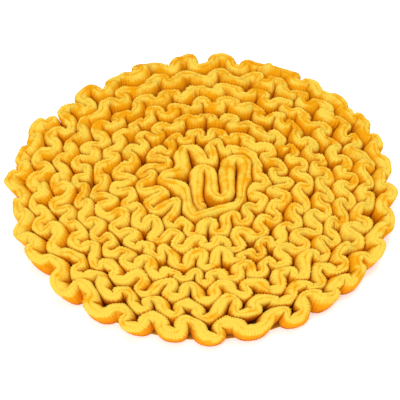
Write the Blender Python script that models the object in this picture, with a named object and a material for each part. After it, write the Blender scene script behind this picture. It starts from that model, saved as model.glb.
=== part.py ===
"""Round snuffle mat: a ruffled plush strip sewn on edge, in a spiral, to a round base cloth.

Metres, +Z up. The origin is the middle of the base cloth's underside, on the floor.
The ruffle is cut as several equal lengths of strip, sewn down end to end from the middle outwards.
Seen from above the spiral grows clockwise, and its own centre lies a little off the mat's centre,
because a spiral that ends on a circle is never quite concentric with it.
"""

import math

import bmesh
import bpy
import numpy as np

# ---------------------------------------------------------------- driving sizes
MAT_RADIUS = 0.225
MAT_HEIGHT = 0.037  # where nothing dips or droops
BASE_RADIUS = 0.203
BASE_THICKNESS = 0.002
BASE_SIDES = 64

PRESSED_THICKNESS = 0.0100  # of the strip, where folds press together
STANDING_THICKNESS = 0.0170  # of the hand-laid strip, where its pile has room
FOLDED_THICKNESS = 0.0138  # of the strip in its folds, where its pile has room
SEWN_THICKNESS = 0.0130  # of the strip at its sewn edge, where its pile has room
FOLDED_FROM = 0.32  # of the strip's length, from its inner end
FOLDED_WITHIN = 0.10
STRIP_SHOULDER = 0.0060  # the rounded top edge starts this far below the crown
STRIP_LENGTHS = 8  # the ruffle is cut as this many equal lengths

TURN_PITCH = 0.0245  # from one turn of the spiral to the next
OUTER_END_DEG = 143.0  # where the outer end of the strip lies, seen from above
OUTER_END_TURN = MAT_RADIUS / TURN_PITCH - 0.5
RUFFLE_START_TURN = 1.765  # before this the strip is laid by hand, as CENTRE_ROUTE says
RIM_EASE_TURNS = 0.03  # the last turn takes up the rim's round outline within this

# How folds are bent.
BEND_SQUARENESS = 0.15  # how far the bends of deep folds are flattened
MOST_SQUARENESS = 0.08
BEND_HAIRPIN = 0.13  # how far a fold's two legs are drawn together, as a share of its half width
BEND_PRESSING = 0.90  # how much of a bend's inside is left free, where the pile presses together
BEND_END = 0.0040  # of an inward bend, past where its legs meet
FOLD_LEAN = 0.42  # how far folds slant along the turn, as a share of their depth
DEEPEST_FOLD = 0.0320  # from a fold's outward bend to its inward bend
LEAST_FOLD = -0.0060  # a fold with no room at all is even pushed outwards by this
LAST_STEPS = 2  # the strip ends so many steps before the bend it would come to
REACH_UNEVEN = 0.0032  # how much the outward reach of folds varies
FOLD_SEED = 11

# How the strip stands.
SEWN_DEPTH = 0.70  # depth of a fold at the sewn edge, as a share of its depth at the top
FOLD_DROOP = 0.30  # how steeply the top edge of a fold comes down towards its outward bend
FULL_HEIGHT = 0.0120  # inside the middle of its turn, where a fold's top edge is highest
FIRST_FOLD_TURNS = 0.5  # the first folds take up both of these within so many turns
OUTWARD_LEAN = 0.010  # how far the top edge leans out at the rim
LEAN_UNEVEN = 0.25  # how much that varies
RIM_DROOP = 0.001  # how much lower the outermost turn stands
HEIGHT_WANDER = 0.0045  # how far the top edge dips
TURN_WANDER = 0.0018  # how far the line between two turns strays
INNER_END_SINKS = 0.0110  # how much lower the strip's inner end stands
INNER_END_LENGTH = 0.0550

# What is left free.
SEWING_GAP = 0.0003  # between the ruffle and the base cloth
END_GAP = 0.0005  # between the ends of two lengths of strip
BEND_GAP = 0.0003  # between a fold and the turn it lies against
PILE_GAP = 0.0013  # between two faces of pile that meet

# How finely the strip is worked out.
STEPS_PER_BEND = 4
ROUTE_STEP = 0.0042  # along the hand-laid strip
TRIAL_POINTS = 12  # from bend to bend, while a fold is tried for room
TRIAL_STEP = 0.0006  # between one tried depth and the next
LAID_SPACING = 0.0015  # along the hand-laid strip, while folds are tried against it
LAID_WINDOW = 1300  # as many laid points as a fold can come near
TRIAL_RANGE = 0.06  # strip farther off than this isn't tried against
WIDTH_TRIALS = (0.80, 0.88, 0.96, 1.04, 1.12, 1.20, 1.30)  # shares of a fold's width
WIDTH_PENALTY = 0.03  # depth that a fold of no width would have to gain
OWN_LENGTH = 0.0130  # strip nearer than this along its course is no neighbour of itself
NEIGHBOUR_RANGE = 0.0350  # strip farther off than this is no neighbour
PILE_TRIALS = 12  # depths of pile tried between standing and pressed

# The lengths along the strip over which it varies, and where each variation starts.
TURN_WAVE = (0.14, 1.7)
WIDTH_WAVE = (0.09, 0.6)
LEAN_WAVE = (0.23, 3.1)
HEIGHT_WAVE = (0.085, 2.2)
FLOP_WAVE = (0.31, 0.4)

# How wide folds are and how much that varies, by their distance from the middle of the spiral.
FOLD_WIDTHS = (
    # radius, width, unevenness
    (0.050, 0.0300, 0.05),
    (0.065, 0.0295, 0.06),
    (0.090, 0.0285, 0.08),
    (0.140, 0.0290, 0.10),
    (0.165, 0.0320, 0.16),
    (0.190, 0.0380, 0.22),
    (0.215, 0.0450, 0.28),
)

# The hand-laid middle of the ruffle, from the strip's inner end: points of its top edge
# from the mat's centre, in millimetres. Two upright bars, an arch round the back and right,
# a bend across the front, then up the slanting band to the loop on the left.
CENTRE_ROUTE = (
    # x, y
    (3.5, -23.5),
    (-5.5, -20.0),
    (-9.5, -8.0),
    (-9.0, 8.0),
    (-7.0, 21.0),
    (0.5, 27.5),
    (7.0, 20.0),
    (8.0, 8.0),
    (8.5, -4.0),
    (17.6, -13.0),
    (26.8, -4.0),
    (26.5, 14.0),
    (27.0, 32.0),
    (30.5, 44.0),
    (39.0, 47.0),
    (46.0, 38.0),
    (47.0, 20.0),
    (46.5, 2.0),
    (45.0, -15.0),
    (37.0, -28.0),
    (24.0, -31.0),
    (12.0, -35.0),
    (3.5, -43.5),
    (-8.0, -43.0),
    (-15.5, -31.0),
    (-21.0, -15.0),
    (-27.0, -3.0),
    (-37.5, 3.5),
    (-46.5, 11.5),
    (-39.5, 20.0),
    (-28.5, 22.0),
    (-22.5, 31.0),
    (-23.5, 43.0),
    (-24.0, 54.0),
)

PLUSH_YELLOW = (0.93, 0.56, 0.05)
BASE_YELLOW = (0.80, 0.47, 0.06)
CLOTH_ROUGHNESS = 0.9

END_ANGLE = math.radians(OUTER_END_DEG)
CENTRE_OFFSET = TURN_PITCH / math.pi  # the spiral's centre to the mat's centre
SPIRAL_CENTRE = -CENTRE_OFFSET * np.array(
    [math.cos(END_ANGLE + math.pi / 2), math.sin(END_ANGLE + math.pi / 2)]
)


# ---------------------------------------------------------------- the spiral
def wander(distance, wave):
    """A smooth uneven value from -1 to 1: three waves that never come back into step."""
    wavelength, start = wave
    phase = 2 * math.pi * np.asarray(distance) / wavelength
    return (
        np.sin(phase + start)
        + np.sin(1.618 * phase + 2.3 * start)
        + np.sin(2.414 * phase + 4.1 * start)
    ) / 3


def ease(share):
    """A share from 0 to 1, slowed at both ends."""
    share = np.clip(share, 0, 1)
    return share * share * (3 - 2 * share)


def angle_at(turn):
    """The direction from the spiral's centre, in radians, after this many turns."""
    return END_ANGLE + 2 * math.pi * (OUTER_END_TURN - turn)


def middle_at(turn):
    """Distance from the spiral's centre to the middle of the band that this turn fills."""
    return TURN_PITCH * (turn + 0.5)


def arc_at(turn):
    """Length along the spiral, from its centre."""
    return math.pi * TURN_PITCH * np.asarray(turn) ** 2


def rim_at(turn):
    """Distance from the spiral's centre to the mat's round rim."""
    angle = angle_at(turn)
    along = SPIRAL_CENTRE[0] * np.cos(angle) + SPIRAL_CENTRE[1] * np.sin(angle)
    radius = MAT_RADIUS - (FOLDED_THICKNESS - PRESSED_THICKNESS) / 2
    return np.sqrt(radius**2 - CENTRE_OFFSET**2 + along**2) - along


def outer_limit(turn):
    """Distance from the spiral's centre to the outside of the band that this turn fills."""
    after = turn + 1
    spiral = TURN_PITCH * after + TURN_WANDER * wander(arc_at(after), TURN_WAVE)
    return spiral + (rim_at(turn) - spiral) * ease((after - OUTER_END_TURN) / RIM_EASE_TURNS)


def lean_at(distance):
    """How far the strip's top edge leans out, this far from the spiral's centre."""
    return OUTWARD_LEAN * (distance / MAT_RADIUS) ** 2


def place_at(turn, distance):
    """Points on the mat at this turn and distance from the spiral's centre."""
    angle = angle_at(turn)
    return SPIRAL_CENTRE + np.column_stack([distance * np.cos(angle), distance * np.sin(angle)])


# ---------------------------------------------------------------- the folds
def fold_width(turn):
    """How wide a fold at this turn is, before it is fitted to the turn inside it."""
    radii, widths, unevenness = np.array(FOLD_WIDTHS).T
    radius = middle_at(turn)
    uneven = np.interp(radius, radii, unevenness)
    return np.interp(radius, radii, widths) * (1 + uneven * wander(arc_at(turn), WIDTH_WAVE))


def bend_path(start, end, steps):
    """Turns and distances on the way from one bend to the next, the last left out."""
    share = np.arange(steps) / steps
    drawn = share + BEND_HAIRPIN * np.sin(2 * math.pi * share)
    across = 2 * math.pi * middle_at(start[0]) * (end[0] - start[0])
    square = BEND_SQUARENESS * (abs(end[1] - start[1]) / across - 1.1)
    square = min(max(square, 0.0), MOST_SQUARENESS)
    rise = np.cos(math.pi * share) - square * np.cos(3 * math.pi * share)
    rise = 0.5 - 0.5 * rise / (1 - square)
    turn = start[0] + (end[0] - start[0]) * drawn
    distance = start[1] + (end[1] - start[1]) * rise
    middle = middle_at(turn)
    slant = FOLD_LEAN * wander(arc_at(turn), LEAN_WAVE)
    turn = turn + slant * (distance - middle) / (2 * math.pi * middle)
    return turn, distance


def nearest(points, laid):
    """How near the points come to the strip that is already laid."""
    return np.min(np.linalg.norm(points[:, None] - laid[None], axis=2))


def fit_fold(before, turn, uneven, near):
    """A fold from an outward bend to the next one at this turn, laid against the strip near it.

    The outward bend goes to the outside of its turn, less an uneven share. The inward bend
    then goes in until it lies against what was laid before it. The fold's depth, its two
    bends and its two legs come back.
    """
    clear = PRESSED_THICKNESS + BEND_GAP
    reach = outer_limit(turn) - PRESSED_THICKNESS / 2 - uneven
    while nearest(place_at(np.array([turn]), np.array([reach])), near) < clear:
        reach += TRIAL_STEP
    after = (turn, reach)
    between = (before[0] + turn) / 2
    middle = middle_at(between)
    across = math.pi * middle * (turn - before[0])
    shallower = min(before[1], reach)
    tightest = middle * clear / across - BEND_END
    deepest = min(DEEPEST_FOLD, shallower - tightest)
    for depth in np.arange(deepest, LEAST_FOLD, -TRIAL_STEP):
        inward = (between, shallower - depth)
        ahead = place_at(*bend_path(before, inward, TRIAL_POINTS))
        back = place_at(*bend_path(inward, after, TRIAL_POINTS))
        if nearest(np.vstack([ahead, back]), near) >= clear:
            break
    return depth, [inward, after], [ahead, back]


def lay_folds(route):
    """The bends of the ruffle, from the end of the hand-laid route outwards, as turns and distances.

    Each fold is tried in several widths, and the one that nests deepest in the turn inside it
    is laid, unless its width strays too far.
    """
    chance = np.random.default_rng(FOLD_SEED)
    bends = [(RUFFLE_START_TURN, outer_limit(RUFFLE_START_TURN) - PRESSED_THICKNESS / 2)]
    route = smooth_route(np.vstack([route, place_at(*np.array(bends).T)]), LAID_SPACING)
    laid = route[:-TRIAL_POINTS]
    recent = [route[-TRIAL_POINTS:], route[:0]]
    while True:
        turn, reach = bends[-1]
        width = fold_width(turn) / (2 * math.pi * middle_at(turn))
        if turn + WIDTH_TRIALS[-1] * width > OUTER_END_TURN:
            return bends
        uneven = REACH_UNEVEN * abs(chance.normal())
        here = place_at(np.array([turn + width / 2]), np.array([reach]))
        near = laid[-LAID_WINDOW:]
        near = near[np.linalg.norm(near - here, axis=1) < TRIAL_RANGE]
        trials = [fit_fold(bends[-1], turn + share * width, uneven, near) for share in WIDTH_TRIALS]
        strays = WIDTH_PENALTY * (np.array(WIDTH_TRIALS) - 1) ** 2
        merits = np.array([trial[0] for trial in trials]) - strays
        _, fold, legs = trials[int(np.argmax(merits))]
        bends += fold
        recent += legs
        laid = np.vstack([laid, recent.pop(0), recent.pop(0)])


def smooth_route(points, step):
    """A smooth curve through hand-laid points, sampled about every step."""
    points = np.vstack([2 * points[0] - points[1], points, 2 * points[-1] - points[-2]])
    pieces = []
    for before, start, end, after in zip(points, points[1:], points[2:], points[3:]):
        length = float(np.linalg.norm(end - start))
        lead = math.sqrt(length / float(np.linalg.norm(start - before)))
        trail = math.sqrt(length / float(np.linalg.norm(after - end)))
        chord = end - start
        leave = chord + lead * ((start - before) * lead - chord) / (1 + lead)
        arrive = chord + trail * ((after - end) * trail - chord) / (1 + trail)
        count = max(1, round(length / step))
        t = (np.arange(count) / count)[:, None]
        bulge = (t - 2 * t**2 + t**3) * leave + (t**3 - t**2) * arrive
        pieces.append(start + (3 * t**2 - 2 * t**3) * chord + bulge)
    return np.vstack(pieces)


def strip_course():
    """The whole strip from its inner end: its top rail, its sewn rail, its height and its length."""
    route = np.array(CENTRE_ROUTE) / 1000
    bends = lay_folds(route)
    paths = [bend_path(start, end, STEPS_PER_BEND) for start, end in zip(bends, bends[1:])]
    turn, distance = np.hstack(paths)[:, :-LAST_STEPS]
    middle = middle_at(turn)
    lean = lean_at(middle) * (1 + LEAN_UNEVEN * wander(arc_at(turn), FLOP_WAVE))
    folds = place_at(turn, distance)
    folded = ease((turn - RUFFLE_START_TURN) / FIRST_FOLD_TURNS)
    depth = 1 - (1 - SEWN_DEPTH) * folded
    sewn = place_at(turn, middle + depth * (distance - middle) - lean)
    centre = smooth_route(np.vstack([route, folds[:1]]), ROUTE_STEP)
    top = np.vstack([centre, folds])
    away = np.linalg.norm(centre - SPIRAL_CENTRE, axis=1, keepdims=True)
    inward = (SPIRAL_CENTRE - centre) / away * lean_at(away)
    sewn = np.vstack([centre + inward, sewn])
    walked = np.concatenate([[0], np.cumsum(np.linalg.norm(np.diff(top, axis=0), axis=1))])
    height = MAT_HEIGHT - HEIGHT_WANDER * (0.5 + 0.5 * wander(walked, HEIGHT_WAVE))
    last_turn = np.clip((turn - OUTER_END_TURN + 1.1) / 0.2, 0, 1)
    height[len(centre) :] -= RIM_DROOP * last_turn
    droop = FOLD_DROOP * np.maximum(distance - middle + FULL_HEIGHT, 0)
    height[len(centre) :] -= droop * folded
    height -= INNER_END_SINKS * (1 - ease(walked / INNER_END_LENGTH))
    # Where it stands lower, it leans out less.
    stands = 1 - (MAT_HEIGHT - height) / (MAT_HEIGHT - STRIP_SHOULDER - BASE_THICKNESS)
    top = sewn + stands[:, None] * (top - sewn)
    return top, sewn, height, walked


# ---------------------------------------------------------------- the pile
def bearings(rail):
    """Unit vectors to the left of a rail, and how sharply it turns left at each point."""
    span = np.diff(rail, axis=0)
    heading = np.unwrap(np.arctan2(span[:, 1], span[:, 0]))
    middle = np.concatenate([heading[:1], (heading[1:] + heading[:-1]) / 2, heading[-1:]])
    left = np.column_stack([-np.sin(middle), np.cos(middle)])
    return left, np.pad(np.diff(heading), 1)


def beside(values):
    """The values one step ahead and one step back, the two ends repeated."""
    return np.append(values[1:], values[-1]), np.insert(values[:-1], 0, values[0])


def inside_room(rail, bend, half):
    """How far an edge may stand inside a bend before it doubles back."""
    length = np.linalg.norm(np.diff(rail, axis=0), axis=1)
    shorter = np.minimum(np.append(length, length[-1]), np.insert(length, 0, length[0]))
    room = BEND_PRESSING * shorter / (2 * np.tan(np.maximum(bend, 0.001) / 2))
    room = np.minimum(half, room)
    return np.minimum(room, np.minimum(*beside(room)) + 0.1 * half)


def pile_reach(rail, walked, outward, thickness):
    """How far the pile stands to one side: up to the next strip, or its own full depth."""
    halfway = (rail[1:] + rail[:-1]) / 2
    course = np.vstack([rail, halfway])
    length = np.concatenate([walked, (walked[1:] + walked[:-1]) / 2])
    pressed = 0.9 * PRESSED_THICKNESS / 2
    reach = np.full(len(rail), pressed)
    for index, place in enumerate(rail):
        apart = np.linalg.norm(course - place, axis=1)
        near = (apart < NEIGHBOUR_RANGE) & (np.abs(length - walked[index]) > OWN_LENGTH)
        for pile in np.linspace(thickness[index] / 2, pressed, PILE_TRIALS):
            edge = place + outward[index] * pile
            if np.all(np.linalg.norm(course[near] - edge, axis=1) >= pile + PILE_GAP):
                reach[index] = pile
                break
    ahead, back = beside(reach)
    return np.minimum(reach, (2 * reach + ahead + back) / 4)


def strip_sections(top, sewn, height, walked):
    """The strip's outline at every step: two sewn corners, two shoulders and the crown."""
    folded = ease((walked - FOLDED_FROM) / FOLDED_WITHIN)
    standing = STANDING_THICKNESS + (FOLDED_THICKNESS - STANDING_THICKNESS) * folded
    foot = np.full(len(top), BASE_THICKNESS + SEWING_GAP)
    shoulder = height - STRIP_SHOULDER
    corners = [np.column_stack([top, height])]
    for side in (1, -1):
        for rail, level, thickness in (
            (top, shoulder, standing),
            (sewn, foot, np.full(len(top), SEWN_THICKNESS)),
        ):
            left, bend = bearings(rail)
            reach = pile_reach(rail, walked, side * left, thickness)
            reach = inside_room(rail, side * bend, reach)
            corners += [np.column_stack([rail + side * left * reach[:, None], level])]
    crown, left_edge, left_foot, right_edge, right_foot = corners
    return np.stack([left_foot, left_edge, crown, right_edge, right_foot], axis=1)


# ---------------------------------------------------------------- building
def clear_scene():
    """Removes what is in the scene."""
    for item in list(bpy.data.objects):
        bpy.data.objects.remove(item)


def cloth_material(name, colour):
    """A matt cloth."""
    material = bpy.data.materials.new(name)
    material.use_nodes = True
    shader = material.node_tree.nodes["Principled BSDF"]
    shader.inputs["Base Color"].default_value = (*colour, 1)
    shader.inputs["Roughness"].default_value = CLOTH_ROUGHNESS
    shader.inputs["Metallic"].default_value = 0
    return material


def add_mesh(name, points, faces, material):
    """An object from points and faces, its normals turned outwards."""
    mesh = bpy.data.meshes.new(name)
    mesh.from_pydata([tuple(p) for p in points], [], faces)
    shape = bmesh.new()
    shape.from_mesh(mesh)
    bmesh.ops.recalc_face_normals(shape, faces=shape.faces)
    shape.to_mesh(mesh)
    shape.free()
    mesh.shade_smooth()
    mesh.materials.append(material)
    item = bpy.data.objects.new(name, mesh)
    bpy.context.collection.objects.link(item)
    return item


def add_strip_length(name, sections, material):
    """One length of the standing strip, with a cut end at each side."""
    steps, corners = sections.shape[:2]
    faces = []
    for step in range(steps - 1):
        here = step * corners
        there = here + corners
        for corner in range(corners):
            after = (corner + 1) % corners
            faces.append((here + corner, here + after, there + after, there + corner))
    for end in (0, (steps - 1) * corners):
        faces += [(end + 2, end, end + 1), (end + 2, end + 4, end), (end + 2, end + 3, end + 4)]
    return add_mesh(name, sections.reshape(-1, 3), faces, material)


def add_base_cloth():
    """The round base cloth, flat on the floor."""
    bpy.ops.mesh.primitive_cylinder_add(
        vertices=BASE_SIDES,
        radius=BASE_RADIUS,
        depth=BASE_THICKNESS,
        location=(0, 0, BASE_THICKNESS / 2),
    )
    base = bpy.context.object
    base.name = "base_cloth"
    base.data.shade_smooth()
    base.data.set_sharp_from_angle(angle=math.radians(30))
    base.data.materials.append(cloth_material("base_cloth", BASE_YELLOW))
    return base


def add_ruffle():
    """The ruffled strip, in equal lengths that butt together."""
    top, sewn, height, walked = strip_course()
    sections = strip_sections(top, sewn, height, walked)
    cuts = np.searchsorted(walked, np.linspace(0, walked[-1], STRIP_LENGTHS + 1))
    cuts[-1] = len(walked) - 1
    for number, (start, end) in enumerate(zip(cuts, cuts[1:]), start=1):
        name = f"ruffle_{number}"
        length = sections[start : end + 1].copy()
        back = top[end - 1] - top[end]
        if number < STRIP_LENGTHS:
            length[-1, :, :2] += END_GAP * back / np.linalg.norm(back)
        add_strip_length(name, length, cloth_material(name, PLUSH_YELLOW))


clear_scene()
add_base_cloth()
add_ruffle()
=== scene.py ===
"""Dresses the snuffle mat: ribbed plush on the ruffled strip, woven cloth under it, and a studio.

Metres, +Z up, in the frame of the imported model, whose origin is the middle of the mat's underside.
The ruffle follows the same spiral and folds as its solids, only much finer, and each length of it
is one grid: an outline with round shoulders and a groove along its top, carried along the strip,
with the ribs of the pile on it.
"""

import logging
import math
from dataclasses import dataclass, field
from enum import Enum
from typing import Sequence

import bpy
import numpy as np
from bpy.types import ID, Material, Node, NodeSocket, NodeTree, Object
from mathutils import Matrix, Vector


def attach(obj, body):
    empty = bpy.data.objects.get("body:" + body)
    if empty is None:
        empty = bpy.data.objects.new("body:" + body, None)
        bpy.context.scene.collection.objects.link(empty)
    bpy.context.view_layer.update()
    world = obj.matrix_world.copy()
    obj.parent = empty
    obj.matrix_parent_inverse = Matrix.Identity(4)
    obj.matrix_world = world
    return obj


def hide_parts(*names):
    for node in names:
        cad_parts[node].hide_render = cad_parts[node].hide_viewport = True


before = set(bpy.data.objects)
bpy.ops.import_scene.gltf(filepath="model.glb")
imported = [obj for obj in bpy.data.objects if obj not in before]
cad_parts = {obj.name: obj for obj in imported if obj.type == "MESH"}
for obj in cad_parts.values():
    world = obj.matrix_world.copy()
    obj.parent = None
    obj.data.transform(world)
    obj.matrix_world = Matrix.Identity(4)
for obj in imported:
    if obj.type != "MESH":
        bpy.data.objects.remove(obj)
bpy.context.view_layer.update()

ROOT_BODY = "root"

Array = np.ndarray
Pair = tuple[float, float]
Triple = tuple[float, float, float]
Colour = Triple

log = logging.getLogger("snuffle_mat")


class Side(Enum):
    """The two faces of the standing strip, as the way from its middle to that face."""

    LEFT = 1
    RIGHT = -1


class Slot(Enum):
    """The material slots."""

    PLUSH = "plush"
    BASE = "base"


# ---------------- curves and grids
@dataclass(frozen=True)
class Wave:
    """A smooth unevenness along the strip, from -1 to 1, that never repeats."""

    length: float
    start: float
    # Its sines: how many times shorter than the length each one is, and its share of the start.
    sines: tuple[Pair, ...] = ((1.0, 1.0), (1.618, 2.3), (2.414, 4.1))

    def at(self, distance: Array) -> Array:
        """The mean of sines whose lengths never come back into step.

        Args:
            distance: how far along, in metres.

        Returns:
            A value from -1 to 1 for each distance.
        """
        phase = 2 * math.pi * np.asarray(distance) / self.length
        waves = [np.sin(times * phase + shift * self.start) for times, shift in self.sines]
        return sum(waves) / len(waves)


def between(low: Array, high: Array, share: Array) -> Array:
    """Values this share of the way from low to high."""
    return low * (1 - share) + high * share


def ease(share: Array) -> Array:
    """A share from 0 to 1, slowed at both ends: 3 times its square less twice its cube."""
    share = np.clip(share, 0, 1)
    return share * share * (3 - 2 * share)


def smoothed(values: Array, reach: float) -> Array:
    """Values along a rail, averaged with a bell-shaped weight, the two ends repeated.

    Args:
        values: one value for each step of the rail.
        reach: the bell's spread, in steps.

    Returns:
        The averaged values, as many as before.
    """
    half = int(math.ceil(3 * reach))
    weight = np.exp(-0.5 * (np.arange(-half, half + 1) / reach) ** 2)
    return np.convolve(np.pad(values, half, mode="edge"), weight / weight.sum(), mode="valid")


def lowest_near(values: Array, half: int) -> Array:
    """The lowest value within so many steps on either side of each step."""
    padded = np.pad(values, half, mode="edge")
    return np.min(np.lib.stride_tricks.sliding_window_view(padded, 2 * half + 1), axis=1)


def bearings(rail: Array) -> tuple[Array, Array]:
    """Which way is left of a rail, and how sharply it turns.

    Args:
        rail: points in plan, one row each.

    Returns:
        Unit vectors to the left: the rail's direction turned by a quarter. And the curvature to
        the left: the change of heading over the length of a step.
    """
    ahead = np.gradient(rail, axis=0)
    length = np.linalg.norm(ahead, axis=1)
    heading = np.unwrap(np.arctan2(ahead[:, 1], ahead[:, 0]))
    left = np.column_stack([-ahead[:, 1], ahead[:, 0]]) / length[:, None]
    return left, np.gradient(heading) / length


def grid_faces(rows: int, columns: int) -> Array:
    """Four-cornered faces over a grid stored row after row, whose last column joins the first.

    Args:
        rows: number of rows of points.
        columns: number of points in each row.

    Returns:
        One face in each row, as four point numbers.
    """
    row, column = np.meshgrid(np.arange(rows - 1), np.arange(columns), indexing="ij")
    after = (column + 1) % columns
    here = row * columns
    there = here + columns
    corners = [here + column, here + after, there + after, there + column]
    return np.stack(corners, axis=-1).reshape(-1, 4)


def end_fans(rows: int, columns: int) -> Array:
    """Three-cornered faces that close a grid of closed rows at both ends.

    Args:
        rows: number of rows of points.
        columns: number of points in each row.

    Returns:
        One face in each row, as three point numbers. Each end's tip is a point of its own; the
        two are stored after the grid's points.
    """
    around = np.arange(columns)
    after = np.roll(around, -1)
    tip = rows * columns
    last = tip - columns
    near = np.column_stack([np.full(columns, tip), around, after])
    far = np.column_stack([np.full(columns, tip + 1), last + after, last + around])
    return np.vstack([near, far])


def placed(name: str, data: ID) -> Object:
    """A new object that shows this data, linked into the scene at the origin."""
    thing = bpy.data.objects.new(name, data)
    bpy.context.scene.collection.objects.link(thing)
    return thing


def point_at(thing: Object, place: Vector, aim: Vector) -> None:
    """Puts a lamp or the camera at a place, looking at its aim with its top up.

    Args:
        thing: the lamp or camera.
        place: where it goes.
        aim: the point it looks at.
    """
    thing.location = place
    thing.rotation_mode = "QUATERNION"
    thing.rotation_quaternion = (aim - place).to_track_quat("-Z", "Y")


@dataclass
class Shape:
    """A mesh in the making: points, faces of any number of corners, and what its finish reads."""

    points: Array
    faces: list[Array]
    uv: Array | None = None
    values: dict[str, Array] = field(default_factory=dict)

    def piece(self, name: str, material: Material, slot: Slot) -> Object:
        """Puts the shape into a smooth mesh whose object sits at the origin.

        Args:
            name: the piece's name.
            material: its finish.
            slot: a material slot; not used.

        Returns:
            The piece, riding on the mat.
        """
        mesh = bpy.data.meshes.new(name)
        corners = np.concatenate([faces.ravel() for faces in self.faces])
        counts = np.concatenate([np.full(len(faces), faces.shape[1]) for faces in self.faces])
        mesh.vertices.add(len(self.points))
        mesh.vertices.foreach_set("co", self.points.astype(np.float32).ravel())
        mesh.loops.add(len(corners))
        mesh.loops.foreach_set("vertex_index", corners.astype(np.int32))
        mesh.polygons.add(len(counts))
        starts = np.concatenate([[0], np.cumsum(counts)[:-1]])
        mesh.polygons.foreach_set("loop_start", starts.astype(np.int32))
        mesh.update(calc_edges=True)
        mesh.shade_smooth()
        if self.uv is not None:
            layer = mesh.uv_layers.new(name="strip")
            layer.data.foreach_set("uv", self.uv[corners].astype(np.float32).ravel())
        for key, numbers in self.values.items():
            layer = mesh.attributes.new(key, "FLOAT", "POINT")
            layer.data.foreach_set("value", numbers.astype(np.float32).ravel())
        mesh.materials.append(material)
        piece = placed(name, mesh)
        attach(piece, ROOT_BODY)
        return piece


# ---------------- finishes
class NodeSheet:
    """A node tree that is written one node at a time."""

    def __init__(self, tree: NodeTree) -> None:
        """Keeps the tree that the nodes go into."""
        self.tree = tree

    def put(self, socket: NodeSocket, value: object) -> None:
        """Links an input, or sets it.

        Args:
            socket: the input.
            value: an output socket to link from, or a value to set.
        """
        if isinstance(value, NodeSocket):
            self.tree.links.new(value, socket)
        else:
            socket.default_value = value

    def feed(self, node: Node, **inputs: object) -> None:
        """Links or sets a node's inputs by name; an underscore stands for a space."""
        for key, value in inputs.items():
            self.put(node.inputs[key.replace("_", " ")], value)

    def add(self, kind: str, *values: object, **settings: object) -> Node:
        """A new node.

        Args:
            kind: its type, as Blender names it after "ShaderNode".
            values: what its first inputs are linked from or set to.
            settings: its own properties by name.

        Returns:
            The node.
        """
        node = self.tree.nodes.new(f"ShaderNode{kind}")
        for key, value in settings.items():
            setattr(node, key, value)
        for socket, value in zip(node.inputs, values):
            self.put(socket, value)
        return node

    def maths(self, operation: str, *values: object) -> NodeSocket:
        """The result of one Math operation on these numbers or sockets."""
        return self.add("Math", *values, operation=operation).outputs[0]

    def past(self, value: object, start: float, share: float) -> NodeSocket:
        """How far a value is past a start, times a share."""
        return self.maths("MULTIPLY", self.maths("SUBTRACT", value, start), share)

    def ramp(
        self, value: NodeSocket, places: Sequence[float], colours: Sequence[Colour]
    ) -> NodeSocket:
        """A colour read off a scale.

        Args:
            value: where on the scale, from 0 to 1.
            places: the places of its colours, lowest first.
            colours: the colours there.

        Returns:
            The colour's socket.
        """
        node = self.add("ValToRGB", value)
        stops = node.color_ramp.elements
        while len(stops) < len(places):
            stops.new(0.5)
        for stop, place, colour in zip(stops, places, colours):
            stop.position = place
            stop.color = (*colour, 1.0)
        return node.outputs["Color"]

    def bump(self, height: object, distance: float, strength: float) -> NodeSocket:
        """The normals of a surface that stands out by this height, times a distance in metres."""
        node = self.add("Bump", strength, distance)
        self.put(node.inputs["Height"], height)
        return node.outputs["Normal"]


def fibre_group() -> NodeTree:
    """Loose fibre: large soft patches, and fine nap whose height also tints the cloth.

    Returns:
        A group from a place, a patch size and a nap size, both in patches a metre, to a patch
        value and a nap value, each from 0 to 1.
    """
    tree = bpy.data.node_groups.new("fibre", "ShaderNodeTree")
    tree.interface.new_socket("Place", in_out="INPUT", socket_type="NodeSocketVector")
    # For each noise: the input for its size, the output for its value, its detail and roughness.
    noises = (("Patches", "Patch", 3.0, 0.60), ("Nap", "Nap Height", 2.0, 0.65))
    for scale, value, _, _ in noises:
        tree.interface.new_socket(scale, in_out="INPUT", socket_type="NodeSocketFloat")
        tree.interface.new_socket(value, in_out="OUTPUT", socket_type="NodeSocketFloat")
    sheet = NodeSheet(tree)
    given = tree.nodes.new("NodeGroupInput").outputs
    out = tree.nodes.new("NodeGroupOutput")
    for scale, value, detail, roughness in noises:
        noise = sheet.add("TexNoise", given["Place"])
        sheet.feed(noise, Scale=given[scale], Detail=detail, Roughness=roughness)
        sheet.put(out.inputs[value], noise.outputs["Fac"])
    return tree


def plain_material(name: str) -> tuple[NodeSheet, Node, Material]:
    """A material with nodes, its sheet and its Principled shader."""
    material = bpy.data.materials.new(name)
    material.use_nodes = True
    return NodeSheet(material.node_tree), material.node_tree.nodes["Principled BSDF"], material


@dataclass(frozen=True)
class LooseFibre:
    """What every cloth's finish shares: the fibre group, and the size of its patches and nap."""

    fibre: NodeTree
    patches: float
    nap: float

    def loose(self, sheet: NodeSheet, place: NodeSocket) -> Sequence[NodeSocket]:
        """The fibre's patch value and nap value at this place."""
        return sheet.add("Group", place, self.patches, self.nap, node_tree=self.fibre).outputs


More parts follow.
